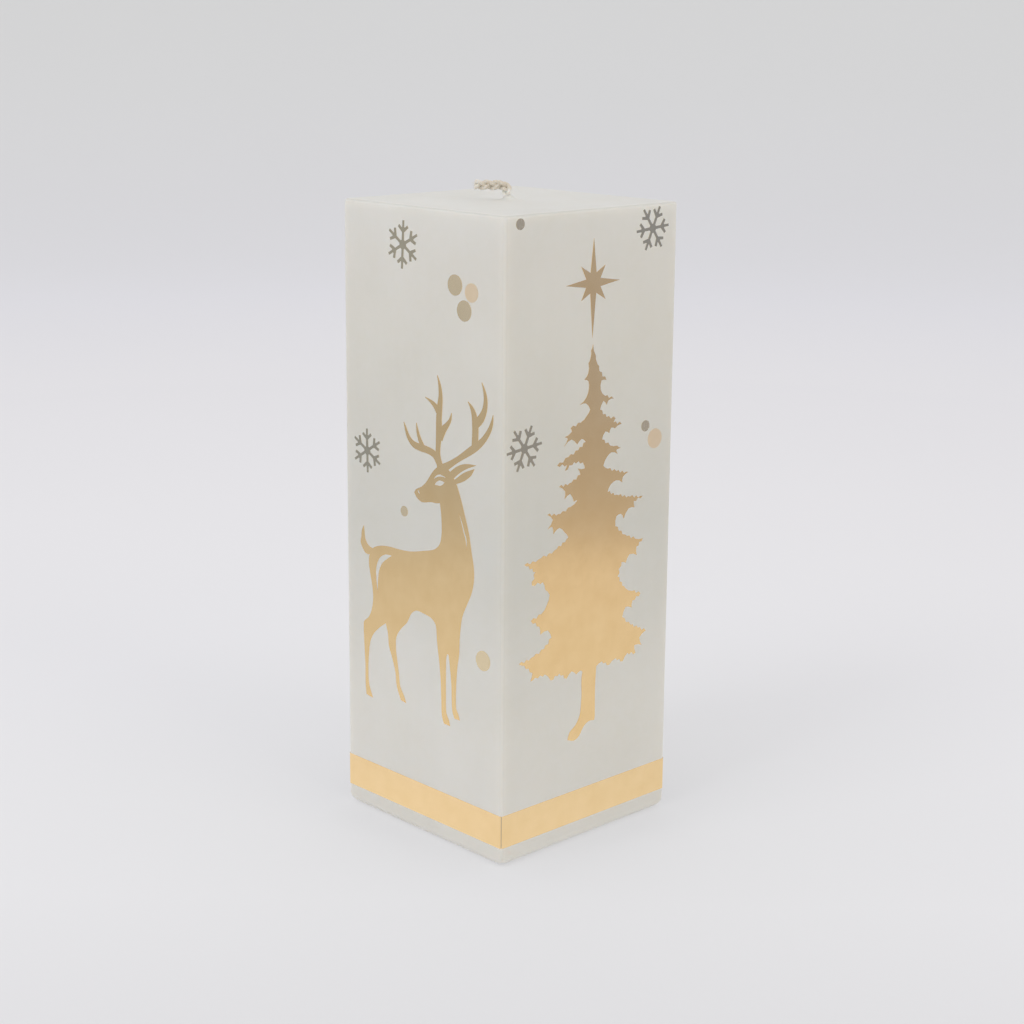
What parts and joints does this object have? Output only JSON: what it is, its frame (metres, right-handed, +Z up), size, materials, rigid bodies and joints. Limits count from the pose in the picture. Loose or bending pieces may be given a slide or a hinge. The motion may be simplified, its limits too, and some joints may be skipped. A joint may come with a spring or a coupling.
{
  "type": "decorated pillar candle",
  "caption": "Square wax pillar candle with a braided wick, gold foil reindeer, spruce, star, snowflakes and dots, and a foil band round the foot.",
  "frame": {"origin": "middle of the flat base, on the surface that the candle stands on", "axes": "+Z up along the wick; -Y out of the front face with a reindeer, +X out of the side face with a spruce"},
  "size_m": [0.0702, 0.0702, 0.1953],
  "materials": {
    "wax": "ivory white candle wax, slightly translucent, satin skin",
    "gold_foil": "smooth pale gold decoration foil, satin to mirror",
    "cotton_wick": "waxed braided cotton",
    "tinned_steel": "pressed tin-plated sheet"
  },
  "bodies": {
    "root": {"candle_body": "wax", "wick": "cotton_wick", "wick_sustainer": "tinned_steel", "band_front": "gold_foil", "band_right": "gold_foil", "band_back": "gold_foil", "band_left": "gold_foil", "reindeer_front": "gold_foil", "reindeer_back": "gold_foil", "spruce_right": "gold_foil", "spruce_left": "gold_foil", "star_right": "gold_foil", "star_left": "gold_foil", "snowflake_front_upper": "gold_foil", "snowflake_front_lower": "gold_foil", "snowflake_right_upper": "gold_foil", "snowflake_right_lower": "gold_foil", "snowflake_back_upper": "gold_foil", "snowflake_back_lower": "gold_foil", "snowflake_left_upper": "gold_foil", "snowflake_left_lower": "gold_foil", "dot_front_1": "gold_foil", "dot_front_2": "gold_foil", "dot_front_3": "gold_foil", "dot_front_4": "gold_foil", "dot_front_5": "gold_foil", "dot_right_1": "gold_foil", "dot_right_2": "gold_foil", "dot_right_3": "gold_foil", "dot_back_1": "gold_foil", "dot_back_2": "gold_foil", "dot_back_3": "gold_foil", "dot_back_4": "gold_foil", "dot_back_5": "gold_foil", "dot_left_1": "gold_foil", "dot_left_2": "gold_foil", "dot_left_3": "gold_foil"}
  },
  "joints": []
}
